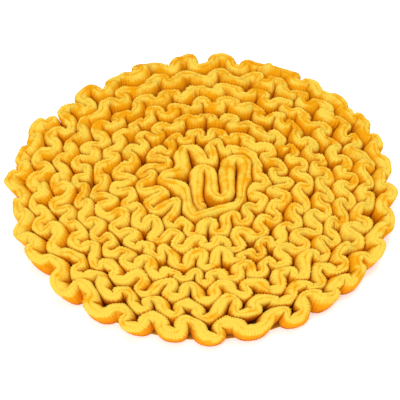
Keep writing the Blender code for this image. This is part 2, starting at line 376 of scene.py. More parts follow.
@dataclass(frozen=True)
class PlushFinish(LooseFibre):
    """Ribbed plush: painted shade in dark orange between the folds, golden walls, painted highlight on
    pale crowns.
    """

    patches: float = 55.0
    nap: float = 1700.0
    # A colour scale by height up the strip that paints the light: painted shade between the folds at
    # its bottom, the walls darker than the crowns, a painted highlight at its top.
    deep: Colour = (0.55, 0.13, 0.0010)
    wall: Colour = (0.84, 0.31, 0.0010)
    crown: Colour = (0.87, 0.40, 0.004)
    pale: Colour = (0.93, 0.67, 0.080)
    stops: tuple[float, ...] = (0.0, 0.45, 0.84, 1.0)
    # How much painted shade darkens the bottoms of the ribs.
    rib_valley_shade: float = 0.16
    roughness: float = 0.92
    specular: float = 0.06
    sheen: float = 0.04
    sheen_roughness: float = 0.45
    sheen_tint: Colour = (1.0, 0.75, 0.20)
    patch_share: float = 0.9
    nap_share: float = 0.25
    nap_height: float = 0.00035

    def material(self, name: str) -> Material:
        """Builds the plush.

        The colour climbs a scale with the height up the strip, from painted shade between the folds
        to a painted highlight on the crowns, moved up and down by soft patches and by the nap; the
        bottoms of the ribs get painted shade. The nap is a bump.

        Args:
            name: the material's name.

        Returns:
            The material.
        """
        sheet, shader, material = plain_material(name)
        patch, nap = self.loose(sheet, sheet.add("TexCoord").outputs["Object"])
        rise, rib = (
            sheet.add("Attribute", attribute_name=key).outputs["Fac"] for key in ("rise", "rib")
        )
        level = sheet.maths("ADD", sheet.past(patch, 0.5, self.patch_share), rise)
        level = sheet.maths("ADD", level, sheet.past(nap, 0.5, self.nap_share))
        colours = (self.deep, self.wall, self.crown, self.pale)
        # Painted shade between the ribs: the colour is multiplied by the darkest colour there.
        rib_shaded = sheet.add("Mix", data_type="RGBA", blend_type="MULTIPLY")
        sheet.put(rib_shaded.inputs[0], sheet.past(rib, 1.0, -self.rib_valley_shade))
        sheet.put(rib_shaded.inputs[6], sheet.ramp(level, self.stops, colours))
        sheet.put(rib_shaded.inputs[7], (*self.deep, 1.0))
        sheet.feed(
            shader,
            Base_Color=rib_shaded.outputs[2],
            Roughness=self.roughness,
            Normal=sheet.bump(nap, self.nap_height, 1.0),
            Sheen_Weight=self.sheen,
            Sheen_Roughness=self.sheen_roughness,
            Sheen_Tint=(*self.sheen_tint, 1.0),
            Specular_IOR_Level=self.specular,
        )
        return material


@dataclass(frozen=True)
class WovenFinish(LooseFibre):
    """Plain woven cloth: two sets of threads that pass over and under each other."""

    patches: float = 40.0
    nap: float = 2500.0
    thread: Colour = (0.83, 0.46, 0.05)
    gap: Colour = (0.42, 0.19, 0.015)
    stops: tuple[float, ...] = (0.0, 0.55)
    threads: float = 1100.0
    thread_height: float = 0.00025
    bump: float = 0.8
    roughness: float = 0.9
    patch_share: float = 0.5

    def material(self, name: str) -> Material:
        """Builds the weave.

        Its height is the product of two sine waves across each other, one for each set of threads.

        Args:
            name: the material's name.

        Returns:
            The material.
        """
        sheet, shader, material = plain_material(name)
        place = sheet.add("TexCoord").outputs["Object"]
        patch, _ = self.loose(sheet, place)
        x, y, _ = sheet.add("SeparateXYZ", place).outputs
        warp, weft = (
            sheet.maths("SINE", sheet.maths("MULTIPLY", axis, math.pi * self.threads))
            for axis in (x, y)
        )
        height = sheet.maths("ABSOLUTE", sheet.maths("MULTIPLY", warp, weft))
        level = sheet.maths("ADD", height, sheet.past(patch, 0.5, self.patch_share))
        sheet.feed(
            shader,
            Base_Color=sheet.ramp(level, self.stops, (self.gap, self.thread)),
            Roughness=self.roughness,
            Normal=sheet.bump(height, self.thread_height, self.bump),
        )
        return material


@dataclass(frozen=True)
class ThreadFinish(LooseFibre):
    """Sewing thread: twisted strands."""

    patches: float = 300.0
    nap: float = 3000.0
    shade: Colour = (0.55, 0.28, 0.03)
    colour: Colour = (0.86, 0.52, 0.09)
    stops: tuple[float, ...] = (0.0, 0.8)
    twists: float = 900.0
    twist_height: float = 0.0001
    bump: float = 0.6
    roughness: float = 0.6
    patch_share: float = 0.2

    def material(self, name: str) -> Material:
        """Builds the thread, whose strands are slanting bands along the piece's own map.

        Args:
            name: the material's name.

        Returns:
            The material.
        """
        sheet, shader, material = plain_material(name)
        place = sheet.add("UVMap", uv_map="strip").outputs["UV"]
        patch, _ = self.loose(sheet, place)
        x, y, _ = sheet.add("SeparateXYZ", place).outputs
        slant = sheet.maths("ADD", x, y)
        strand = sheet.maths("SINE", sheet.maths("MULTIPLY", slant, 2 * math.pi * self.twists))
        patch = sheet.past(patch, 0.0, self.patch_share)
        level = sheet.maths("ADD", sheet.past(strand, -1.0, 0.5), patch)
        sheet.feed(
            shader,
            Base_Color=sheet.ramp(level, self.stops, (self.shade, self.colour)),
            Roughness=self.roughness,
            Normal=sheet.bump(strand, self.twist_height, self.bump),
        )
        return material


# ---------------- the spiral and its folds
@dataclass(frozen=True)
class Spiral:
    """The spiral that the ruffle follows, clockwise from above, its centre a little off the mat's."""

    mat_radius: float = 0.225
    turn_pitch: float = 0.0245
    outer_end: float = math.radians(143.0)
    pressed: float = 0.0100
    folded: float = 0.0138
    rim_ease: float = 0.03
    turn_wander: float = 0.0018
    turn_wave: Wave = Wave(0.14, 1.7)

    @property
    def outer_turn(self) -> float:
        """The turn at the strip's outer end."""
        return self.mat_radius / self.turn_pitch - 0.5

    @property
    def offset(self) -> float:
        """How far the spiral's centre lies from the mat's."""
        return self.turn_pitch / math.pi

    @property
    def centre(self) -> Array:
        """The spiral's centre, from the mat's."""
        across = self.outer_end + math.pi / 2
        return -self.offset * np.array([math.cos(across), math.sin(across)])

    def angle_at(self, turn: Array) -> Array:
        """The direction from the spiral's centre, in radians, after this many turns."""
        return self.outer_end + 2 * math.pi * (self.outer_turn - turn)

    def middle_at(self, turn: Array) -> Array:
        """Distance from the spiral's centre to the middle of the band that this turn fills."""
        return self.turn_pitch * (turn + 0.5)

    def arc_at(self, turn: Array) -> Array:
        """Length along the spiral from its centre: pi times the pitch times the turn squared."""
        return math.pi * self.turn_pitch * np.asarray(turn) ** 2

    def rim_at(self, turn: Array) -> Array:
        """Distance from the spiral's centre to the mat's round rim, by the law of cosines."""
        angle = self.angle_at(turn)
        along = self.centre[0] * np.cos(angle) + self.centre[1] * np.sin(angle)
        radius = self.mat_radius - (self.folded - self.pressed) / 2
        return np.sqrt(radius**2 - self.offset**2 + along**2) - along

    def outer_limit(self, turn: Array) -> Array:
        """Distance from the spiral's centre to the outside of the band that this turn fills."""
        after = turn + 1
        spiral = self.turn_pitch * after
        spiral = spiral + self.turn_wander * self.turn_wave.at(self.arc_at(after))
        share = ease((after - self.outer_turn) / self.rim_ease)
        return spiral + (self.rim_at(turn) - spiral) * share

    def place_at(self, turn: Array, distance: Array) -> Array:
        """Points on the mat at this turn and distance from the spiral's centre."""
        angle = self.angle_at(turn)
        across = np.column_stack([distance * np.cos(angle), distance * np.sin(angle)])
        return self.centre + across


@dataclass
class Course:
    """The strip from its inner end, step by step: rails in plan, height and length walked."""

    top: Array
    sewn: Array
    height: Array
    walked: Array


@dataclass(frozen=True)
class Ruffle:
    """How the strip is laid: along given points in the middle, and then in folds along the spiral."""

    spiral: Spiral = Spiral()
    start_turn: float = 1.765
    lengths: int = 8
    steps_per_bend: int = 4
    finer: int = 12
    route_step: float = 0.0042
    squareness: float = 0.15
    square_from: float = 1.1
    most_squareness: float = 0.08
    hairpin: float = 0.13
    bend_end: float = 0.0040
    bend_gap: float = 0.0003
    fold_lean: float = 0.42
    deepest_fold: float = 0.0320
    least_fold: float = -0.0060
    last_steps: int = 2
    reach_uneven: float = 0.0032
    fold_seed: int = 11
    trial_points: int = 12
    trial_step: float = 0.0006
    trial_range: float = 0.06
    width_trials: tuple[float, ...] = (0.80, 0.88, 0.96, 1.04, 1.12, 1.20, 1.30)
    width_penalty: float = 0.03
    laid_spacing: float = 0.0015
    laid_window: int = 1300
    sewn_depth: float = 0.70
    fold_droop: float = 0.30
    full_height: float = 0.0120
    first_fold_turns: float = 0.5
    outward_lean: float = 0.010
    lean_uneven: float = 0.25
    mat_height: float = 0.037
    shoulder: float = 0.0060
    base: float = 0.0020
    rim_droop: float = 0.001
    rim_turns: float = 1.1
    rim_within: float = 0.2
    height_wander: float = 0.0045
    inner_end_sinks: float = 0.0110
    inner_end_length: float = 0.0550
    width_wave: Wave = Wave(0.09, 0.6)
    lean_wave: Wave = Wave(0.23, 3.1)
    height_wave: Wave = Wave(0.085, 2.2)
    flop_wave: Wave = Wave(0.31, 0.4)
    # How wide folds are and how much that varies, by their distance from the spiral's centre.
    fold_widths: tuple[Triple, ...] = (
        # radius, width, unevenness
        (0.050, 0.0300, 0.05),
        (0.065, 0.0295, 0.06),
        (0.090, 0.0285, 0.08),
        (0.140, 0.0290, 0.10),
        (0.165, 0.0320, 0.16),
        (0.190, 0.0380, 0.22),
        (0.215, 0.0450, 0.28),
    )
    # The middle, as listed points from the strip's inner end, in millimetres from the mat's centre:
    # two bars, an arch round the back and right, a bend at the front, the slanting band, the loop.
    centre_route: tuple[Pair, ...] = (
        # x, y
        (3.5, -23.5), (-5.5, -20.0), (-9.5, -8.0), (-9.0, 8.0), (-7.0, 21.0),
        (0.5, 27.5), (7.0, 20.0), (8.0, 8.0), (8.5, -4.0), (17.6, -13.0),
        (26.8, -4.0), (26.5, 14.0), (27.0, 32.0), (30.5, 44.0), (39.0, 47.0),
        (46.0, 38.0), (47.0, 20.0), (46.5, 2.0), (45.0, -15.0), (37.0, -28.0),
        (24.0, -31.0), (12.0, -35.0), (3.5, -43.5), (-8.0, -43.0), (-15.5, -31.0),
        (-21.0, -15.0), (-27.0, -3.0), (-37.5, 3.5), (-46.5, 11.5), (-39.5, 20.0),
        (-28.5, 22.0), (-22.5, 31.0), (-23.5, 43.0), (-24.0, 54.0),
    )

    def fold_width(self, turn: float) -> float:
        """How wide a fold at this turn is, before it is fitted to the turn inside it."""
        spiral = self.spiral
        radii, widths, unevenness = np.array(self.fold_widths).T
        radius = spiral.middle_at(turn)
        uneven = np.interp(radius, radii, unevenness)
        wave = self.width_wave.at(spiral.arc_at(turn))
        return np.interp(radius, radii, widths) * (1 + uneven * wave)

    def bend_path(self, start: Pair, end: Pair, steps: int) -> tuple[Array, Array]:
        """The way from one bend to the next, the last step left out.

        The distance rises by half a cosine wave, squared off a little by its third harmonic, while
        the turn goes on evenly but for a sine that draws the legs together.

        Args:
            start: turn and distance of the bend it leaves.
            end: turn and distance of the bend it comes to.
            steps: into how many steps it is cut.

        Returns:
            Turns and distances from the spiral's centre.
        """
        spiral = self.spiral
        share = np.arange(steps) / steps
        drawn = share + self.hairpin * np.sin(2 * math.pi * share)
        across = 2 * math.pi * spiral.middle_at(start[0]) * (end[0] - start[0])
        square = self.squareness * (abs(end[1] - start[1]) / across - self.square_from)
        square = min(max(square, 0.0), self.most_squareness)
        rise = np.cos(math.pi * share) - square * np.cos(3 * math.pi * share)
        rise = 0.5 - 0.5 * rise / (1 - square)
        turn = start[0] + (end[0] - start[0]) * drawn
        distance = start[1] + (end[1] - start[1]) * rise
        middle = spiral.middle_at(turn)
        slant = self.fold_lean * self.lean_wave.at(spiral.arc_at(turn))
        return turn + slant * (distance - middle) / (2 * math.pi * middle), distance

    def fit_fold(
        self, before: Pair, turn: float, uneven: float, near: Array
    ) -> tuple[float, list[Pair], list[Array]]:
        """A fold from an outward bend to the next one, laid against the strip near it.

        The outward bend goes to the outside of its turn, less an uneven share. The inward bend
        then goes in until it lies against what was laid before it.

        Args:
            before: turn and distance of the outward bend that the fold leaves.
            turn: where its own outward bend is.
            uneven: how much short of its turn's outside it stays.
            near: points of the strip laid before.

        Returns:
            The fold's depth, its two bends and its two legs.
        """
        spiral = self.spiral
        clear = spiral.pressed + self.bend_gap
        reach = spiral.outer_limit(turn) - spiral.pressed / 2 - uneven
        while nearest(spiral.place_at(np.array([turn]), np.array([reach])), near) < clear:
            reach += self.trial_step
        after = (turn, reach)
        between = (before[0] + turn) / 2
        middle = spiral.middle_at(between)
        across = math.pi * middle * (turn - before[0])
        shallower = min(before[1], reach)
        tightest = middle * clear / across - self.bend_end
        deepest = min(self.deepest_fold, shallower - tightest)
        for depth in np.arange(deepest, self.least_fold, -self.trial_step):
            inward = (between, shallower - depth)
            ahead = spiral.place_at(*self.bend_path(before, inward, self.trial_points))
            back = spiral.place_at(*self.bend_path(inward, after, self.trial_points))
            if nearest(np.vstack([ahead, back]), near) >= clear:
                break
        return depth, [inward, after], [ahead, back]

    def lay_folds(self, route: Array) -> list[Pair]:
        """The bends of the ruffle, from the end of the given route outwards.

        Each fold is tried in several widths, and the one that nests deepest in the turn inside it
        is laid, unless its width strays too far.

        Args:
            route: the given points of the middle.

        Returns:
            Turn and distance of each bend.
        """
        spiral = self.spiral
        chance = np.random.default_rng(self.fold_seed)
        start = self.start_turn
        bends = [(start, spiral.outer_limit(start) - spiral.pressed / 2)]
        first = spiral.place_at(*np.array(bends).T)
        route = smooth_route(np.vstack([route, first]), self.laid_spacing, 1)
        laid = route[: -self.trial_points]
        recent = [route[-self.trial_points :], route[:0]]
        shares = np.array(self.width_trials)
        while True:
            turn, reach = bends[-1]
            width = self.fold_width(turn) / (2 * math.pi * spiral.middle_at(turn))
            if turn + shares[-1] * width > spiral.outer_turn:
                return bends
            uneven = self.reach_uneven * abs(chance.normal())
            here = spiral.place_at(np.array([turn + width / 2]), np.array([reach]))
            near = laid[-self.laid_window :]
            near = near[np.linalg.norm(near - here, axis=1) < self.trial_range]
            ends = [turn + share * width for share in self.width_trials]
            trials = [self.fit_fold(bends[-1], end, uneven, near) for end in ends]
            merits = np.array([trial[0] for trial in trials])
            merits = merits - self.width_penalty * (shares - 1) ** 2
            _, fold, legs = trials[int(np.argmax(merits))]
            bends += fold
            recent += legs
            laid = np.vstack([laid, recent.pop(0), recent.pop(0)])

    def lean_at(self, distance: Array) -> Array:
        """How far the strip's top edge leans out: its most at the rim, by the distance squared."""
        return self.outward_lean * (distance / self.spiral.mat_radius) ** 2

    def course(self) -> tuple[Course, Array]:
        """The whole strip, finely stepped, and where it is cut into lengths.

        Folds are less deep at the sewn edge than at the top, and all of the strip leans out
        towards its top. A fold's top edge comes down towards its outward bend, in step with the
        distance. Where the top edge stands lower, it also stays nearer to the sewn edge in plan,
        by the same share of the way up to the shoulder, so that neighbours don't run together.

        Returns:
            The course, and the length walked at each cut, both ends among them.
        """
        spiral = self.spiral
        route = np.array(self.centre_route) / 1000
        bends = self.lay_folds(route)
        steps = self.steps_per_bend * self.finer
        paths = [self.bend_path(start, end, steps) for start, end in zip(bends, bends[1:])]
        turn, distance = np.hstack(paths)[:, : -self.last_steps * self.finer]
        middle = spiral.middle_at(turn)
        lean = self.lean_at(middle)
        lean = lean * (1 + self.lean_uneven * self.flop_wave.at(spiral.arc_at(turn)))
        folds = spiral.place_at(turn, distance)
        folded = ease((turn - self.start_turn) / self.first_fold_turns)
        depth = 1 - (1 - self.sewn_depth) * folded
        sewn = spiral.place_at(turn, middle + depth * (distance - middle) - lean)
        centre = smooth_route(np.vstack([route, folds[:1]]), self.route_step, self.finer)
        top = np.vstack([centre, folds])
        away = np.linalg.norm(centre - spiral.centre, axis=1, keepdims=True)
        inward = (spiral.centre - centre) / away * self.lean_at(away)
        sewn = np.vstack([centre + inward, sewn])
        walked = length_along(top)
        height = self.mat_height - self.height_wander * (0.5 + 0.5 * self.height_wave.at(walked))
        rim = np.clip((turn - spiral.outer_turn + self.rim_turns) / self.rim_within, 0, 1)
        height[len(centre) :] -= self.rim_droop * rim
        droop = self.fold_droop * np.maximum(distance - middle + self.full_height, 0)
        height[len(centre) :] -= droop * folded
        height -= self.inner_end_sinks * (1 - ease(walked / self.inner_end_length))
        stands = 1 - (self.mat_height - height) / (self.mat_height - self.shoulder - self.base)
        top = sewn + stands[:, None] * (top - sewn)
        coarse = length_along(top[:: self.finer])
        cuts = np.searchsorted(coarse, np.linspace(0, coarse[-1], self.lengths + 1))
        cuts[-1] = len(coarse) - 1
        return Course(top, sewn, height, walked), walked[cuts * self.finer]


def length_along(rail: Array) -> Array:
    """Length walked along a rail at each of its points."""
    return np.concatenate([[0], np.cumsum(np.linalg.norm(np.diff(rail, axis=0), axis=1))])


def nearest(points: Array, laid: Array) -> float:
    """How near the points come to the strip that is already laid."""
    return np.min(np.linalg.norm(points[:, None] - laid[None], axis=2))


def smooth_route(points: Array, step: float, finer: int) -> Array:
    """A smooth curve through given points: a cubic between each two, its slopes centripetal.

    Args:
        points: the points it goes through.
        step: about how long its steps are.
        finer: into how many each step is cut again.

    Returns:
        Points along the curve, the last given one left out.
    """
    points = np.vstack([2 * points[0] - points[1], points, 2 * points[-1] - points[-2]])
    pieces = []
    for before, start, end, after in zip(points, points[1:], points[2:], points[3:]):
        length = float(np.linalg.norm(end - start))
        lead = math.sqrt(length / float(np.linalg.norm(start - before)))
        trail = math.sqrt(length / float(np.linalg.norm(after - end)))
        chord = end - start
        leave = chord + lead * ((start - before) * lead - chord) / (1 + lead)
        arrive = chord + trail * ((after - end) * trail - chord) / (1 + trail)
        count = max(1, round(length / step)) * finer
        t = (np.arange(count) / count)[:, None]
        bulge = (t - 2 * t**2 + t**3) * leave + (t**3 - t**2) * arrive
        pieces.append(start + (3 * t**2 - 2 * t**3) * chord + bulge)
    return np.vstack(pieces)


# ---------------- the plush strip
@dataclass(frozen=True)
class Flop:
    """How the soft top of the mat gives way: outwards to the rim, and in places to any side.

    Everything near one spot goes the same way, so that neighbours don't run into each other.
    """

    mat_radius: float = 0.225
    outward: float = 0.0080
    starts: float = 0.008
    full_height: float = 0.037
    most_share: float = 1.2
    power: float = 1.3
    # For x, y and z: how far points move at most, and the length and start of their field.
    sways: tuple[Triple, ...] = (
        (0.00672, 0.088, 0.7),
        (0.00672, 0.080, 2.9),
        (0.00384, 0.050, 4.1),
    )
    # A field's crossing waves: how many times shorter than its length, how far they run along x
    # and along y, and their share of its start.
    crossings: tuple[tuple[float, float, float, float], ...] = (
        (1.0, 1.0, 0.30, 1.0),
        (1.0, -0.55, 0.83, 2.1),
        (1.47, 0.5, 0.87, 3.7),
        (1.61, 0.91, -0.42, 5.3),
    )

    def apply(self, points: Array) -> Array:
        """Moves points by how high they are: by their share of the full height to a power.

        Each way they are moved by a smooth bumpy field, the mean of its crossing sine waves, and
        outwards also in step with their distance from the middle.

        Args:
            points: points of the strip.

        Returns:
            The moved points.
        """
        x, y, z = np.moveaxis(points, -1, 0)
        share = (z - self.starts) / (self.full_height - self.starts)
        share = np.clip(share, 0, self.most_share) ** self.power
        move = np.zeros(points.shape)
        move[..., :2] = self.outward / self.mat_radius * points[..., :2]
        for axis, (most, length, start) in enumerate(self.sways):
            waves = [
                np.sin(times * 2 * math.pi / length * (along * x + aside * y) + shift * start)
                for times, along, aside, shift in self.crossings
            ]
            move[..., axis] += most * sum(waves) / len(waves)
        return points + share[..., None] * move


@dataclass
class PlushStrip:
    """The ruffled strip as plush: each length is its outline carried along the course."""

    ruffle: Ruffle
    material: Material
    cut_width: float = 0.0400
    foot: float = 0.0022
    crown_depth: float = 0.0095
    # Pile: how thick the strip is where nothing presses it, and how it fits between its neighbours.
    standing: float = 0.0195
    folded: float = 0.0168
    folded_from: float = 0.32
    folded_within: float = 0.10
    sewn_standing: float = 0.0168
    sewn_in: float = 0.14
    sewn_in_below: float = 0.2
    least: float = 0.0084
    pile_gap: float = 0.0004
    own_length: float = 0.0130
    neighbour_step: int = 4
    rows_at_once: int = 256
    inside_share: float = 0.92
    puff: float = 0.08
    puff_wave: Wave = Wave(0.031, 0.9)
    lift: float = 0.0009
    lift_wave: Wave = Wave(0.026, 4.4)
    rail_reach: float = 1.5
    pile_reach: float = 2.0
    pressed_steps: int = 2
    flop: Flop = Flop()
    # Ribs across the strip, and the nap between them.
    rib_pitch: float = 0.0024
    samples_per_rib: int = 4
    rib_height: float = 0.00018
    rib_teeth: float = 0.00026
    rib_strength: float = 0.7
    rib_uneven: float = 0.5
    rib_wave: Wave = Wave(0.047, 1.3)
    rib_spread: Pair = (0.15, 1.5)
    nap: float = 0.00010
    nap_seed: int = 5
    # Painted shade: how much the height's share that the finish reads drops in the groove along the
    # top, and towards the back of the mat.
    groove_shade: float = 95.0
    back_shade: float = 0.06
    # The two ends of the strip, and the cuts between its lengths.
    end_gap: float = 0.0002
    end_round: float = 0.0050
    end_least: float = 0.02
    end_width: float = 0.35
    # The outline: places up its walls, angles round its shoulders, and the top between them as
    # how far out it is, a share of the reach, and how far below the shoulders, in metres.
    bulge: float = 0.07
    wall_shares: tuple[float, ...] = (0.0, 0.20, 0.45, 0.72, 1.0)
    shoulder_degrees: tuple[float, ...] = (17.0, 34.0, 52.0, 71.0, 90.0)
    shoulder_share: float = 0.66
    shoulder_power: float = 0.9
    top_points: tuple[Pair, ...] = ((0.24, 0.00005), (0.12, 0.00050), (0.0, 0.00130))

    def even_course(self, course: Course) -> Course:
        """The course in even steps, a few to each rib.

        Args:
            course: the finely stepped course.

        Returns:
            The same course, read off at even lengths and smoothed over a step or two.
        """
        length = course.walked[-1]
        count = round(length / self.rib_pitch * self.samples_per_rib)
        walked = np.linspace(0, length, count + 1)
        x, y, sewn_x, sewn_y, height = (
            smoothed(np.interp(walked, course.walked, track), self.rail_reach)
            for track in (*course.top.T, *course.sewn.T, course.height)
        )
        return Course(np.column_stack([x, y]), np.column_stack([sewn_x, sewn_y]), height, walked)

    def free_reach(self, rail: Array, walked: Array, outward: Array) -> Array:
        """How far the pile can stand to one side before it meets the next strip.

        Where two faces of pile meet, both are equally far from their own strips. So the reach p
        from a point is where a circle of radius p, which touches the strip there, touches another
        strip: p is the squared distance to that strip, less the gap squared, over twice the sum of
        the gap and the distance's share along the outward direction. The least such p counts.

        Args:
            rail: the strip in plan.
            walked: length along it.
            outward: unit vectors to the side.

        Returns:
            The reach at each step of the rail.
        """
        few = slice(None, None, self.neighbour_step)
        here, along, way = rail[few], walked[few], outward[few]
        reach = np.empty(len(here))
        for start in range(0, len(here), self.rows_at_once):
            rows = slice(start, start + self.rows_at_once)
            apart = here[None] - here[rows, None]
            ahead = np.einsum("ijk,ik->ij", apart, way[rows]) + self.pile_gap
            squared = np.einsum("ijk,ijk->ij", apart, apart) - self.pile_gap**2
            bar = (np.abs(along[None] - along[rows, None]) < self.own_length) | (ahead <= 0)
            reach[rows] = np.min(np.where(bar, 1.0, squared / (2 * np.where(bar, 1.0, ahead))), axis=1)
        return np.interp(walked, along, reach)

    def reach(self, rail: Array, walked: Array, side: Side, full: float | Array) -> Array:
        """How far the pile stands to one side of a rail.

        Args:
            rail: the strip in plan.
            walked: length along the strip.
            side: which face.
            full: the strip's whole thickness where nothing presses it.

        Returns:
            The reach at each step: the free reach, but no more than the full pile, and inside a
            bend no more than a share of the bend's radius.
        """
        left, curvature = bearings(rail)
        reach = self.free_reach(rail, walked, side.value * left)
        puff = 1 + self.puff * self.puff_wave.at(walked + side.value)
        reach = np.clip(reach, self.least / 2, full / 2 * puff)
        inside = smoothed(side.value * curvature, self.pile_reach)
        reach = np.minimum(reach, self.inside_share / np.maximum(inside, 1.0))
        return smoothed(lowest_near(reach, self.pressed_steps), self.pile_reach)

    def end_share(self, walked: Array) -> Array:
        """How full the strip is at its two ends, which are round: a quarter circle's height."""
        near = np.minimum(walked, walked[-1] - walked) / self.end_round
        return np.sqrt(1 - (1 - np.clip(near, self.end_least, 1)) ** 2)

    def outline(self) -> Array:
        """The outline across the strip, from its left foot over its top to its right foot.

        A wall bulges by half a sine wave. A shoulder is a quarter of a rounded square, the sine
        and cosine to a power, as wide as a share of the reach. The top dips to a groove in its
        middle. The right half mirrors the left one.

        Returns:
            Seven rows with a number for each point: its side (1 left, -1 right, 0 in the middle),
            its share of the reach, of the wall's height and of the crown's depth, how far up its
            normal looks, in radians, its dip, and its share of the ribs' teeth.
        """
        walls = np.array(self.wall_shares)
        bends = np.radians(self.shoulder_degrees)
        out, dip = np.array(self.top_points).T
        none, no_bend, one_bend, one = 0 * walls, 0 * bends, 1 + 0 * bends, 1 + 0 * out
        shoulder = 1 - self.shoulder_share * (1 - np.cos(bends) ** self.shoulder_power)
        half = np.array(
            [
                np.concatenate(parts)
                for parts in (
                    (1 + none, one_bend, np.sign(out)),
                    (1 + self.bulge * np.sin(math.pi * walls), shoulder, out),
                    (walls, one_bend, one),
                    (none, np.sin(bends) ** self.shoulder_power, one),
                    (none, bends, one * math.pi / 2),
                    (none, no_bend, dip),
                    (none, np.sin(2 * bends), 0 * out),
                )
            ]
        )
        other = half[:, -2::-1] * np.array([-1, 1, 1, 1, 1, 1, 1])[:, None]
        return np.hstack([half, other])

    def grid(self, course: Course) -> tuple[Array, Array, dict[str, Array]]:
        """Every point of the strip's surface, for each step along it and each point of its outline.

        Walls go from the sewn rail to the top rail in a straight line, and the reach to either
        side goes from the sewn rail's to the top rail's, drawn in near the foot. Ribs push the
        surface out along the outline's own normal by a cosine wave along the strip, stronger on
        the shoulders, where they show as teeth, and on the outside of bends, where they open. The
        nap adds a little chance to every point. All of it is then flopped.

        Args:
            course: the evenly stepped course.

        Returns:
            Points (steps, outline, 3), the map (steps, outline, 2) and the values for the finish:
            rise is the height's share, less in the groove and towards the back, which the finish turns
            into painted shade low down and a painted highlight on top, and rib is 1 on a rib and 0
            between two, which the finish turns into painted shade between the ribs.
        """
        side, across, wall, dome, lean, dip, teeth = self.outline()
        walked = course.walked
        full = self.end_share(walked)[:, None]
        height = (course.height + self.lift * self.lift_wave.at(walked))[:, None]
        level = self.foot + (height - self.crown_depth - self.foot) * wall
        level = level + self.crown_depth * full * dome
        share = (level - self.foot) / (height - self.foot)
        level = level - dip * full
        rise = np.clip(share, 0, 1)
        folded = ease((walked - self.folded_from) / self.folded_within)
        standing = self.standing + (self.folded - self.standing) * folded
        drawn = 1 - self.sewn_in * (1 - ease(share / self.sewn_in_below))
        left_reach, right_reach = (
            between(
                self.reach(course.sewn, walked, which, self.sewn_standing)[:, None] * drawn,
                self.reach(course.top, walked, which, standing)[:, None],
                rise,
            )
            for which in Side
        )
        top_left, curvature = bearings(course.top)
        sewn_left, _ = bearings(course.sewn)
        left = between(sewn_left[:, None], top_left[:, None], share[..., None])
        left /= np.linalg.norm(left, axis=2, keepdims=True)
        rail = between(course.sewn[:, None], course.top[:, None], share[..., None])
        offset = side * across * np.where(side > 0, left_reach, right_reach)
        offset = offset * (self.end_width + (1 - self.end_width) * full)
        rib = np.cos(2 * math.pi * walked / self.rib_pitch)[:, None] + 0 * offset
        spread = np.clip(1 - curvature[:, None] * offset, *self.rib_spread)
        rough = np.random.default_rng(self.nap_seed).normal(size=rib.shape) * self.nap
        strength = self.rib_strength + self.rib_uneven * self.rib_wave.at(walked)[:, None]
        push = (self.rib_height + self.rib_teeth * teeth) * strength * rib * spread + rough
        offset = offset + push * side * np.cos(lean)
        level = level + push * np.sin(lean)
        level[:, [0, -1]] = self.foot
        plan = rail + left * offset[..., None]
        points = self.flop.apply(np.concatenate([plan, level[..., None]], axis=2))
        mapped = np.stack(np.broadcast_arrays(walked[:, None], length_along(points[0])), axis=-1)
        # Painted shade: the share that the finish reads drops in the groove and towards the back.
        rise = rise - self.groove_shade * dip
        rise = rise - self.back_shade * points[..., 1] / self.flop.mat_radius
        return points, mapped, {"rise": rise, "rib": 0.5 + 0.5 * rib}

    def build(self) -> list[Object]:
        """Makes one piece for each length of strip, in place of that length's solid.

        Returns:
            The pieces, from the middle outwards.
        """
        course, cuts = self.ruffle.course()
        even = self.even_course(course)
        points, mapped, values = self.grid(even)
        ends = np.rint(cuts / even.walked[-1] * (len(even.walked) - 1)).astype(int)
        columns = np.arange(points.shape[1])
        pieces = []
        for number, (start, end) in enumerate(zip(ends, ends[1:]), start=1):
            rows = slice(start, end + 1)
            part = points[rows].copy()
            if number < self.ruffle.lengths:
                back = even.top[end - 1] - even.top[end]
                part[-1, :, :2] += self.end_gap * back / np.linalg.norm(back)
            walls = grid_faces(len(part), len(columns))
            shape = Shape(
                points=part.reshape(-1, 3),
                faces=[walls, columns[None, ::-1], columns[None] + (len(part) - 1) * len(columns)],
                uv=mapped[rows].reshape(-1, 2),
                values={key: value[rows].reshape(-1) for key, value in values.items()},
            )
            piece = shape.piece(f"plush_strip_{number}", self.material, Slot.PLUSH)
            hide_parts(f"ruffle_{number}")
            pieces.append(piece)
        return pieces


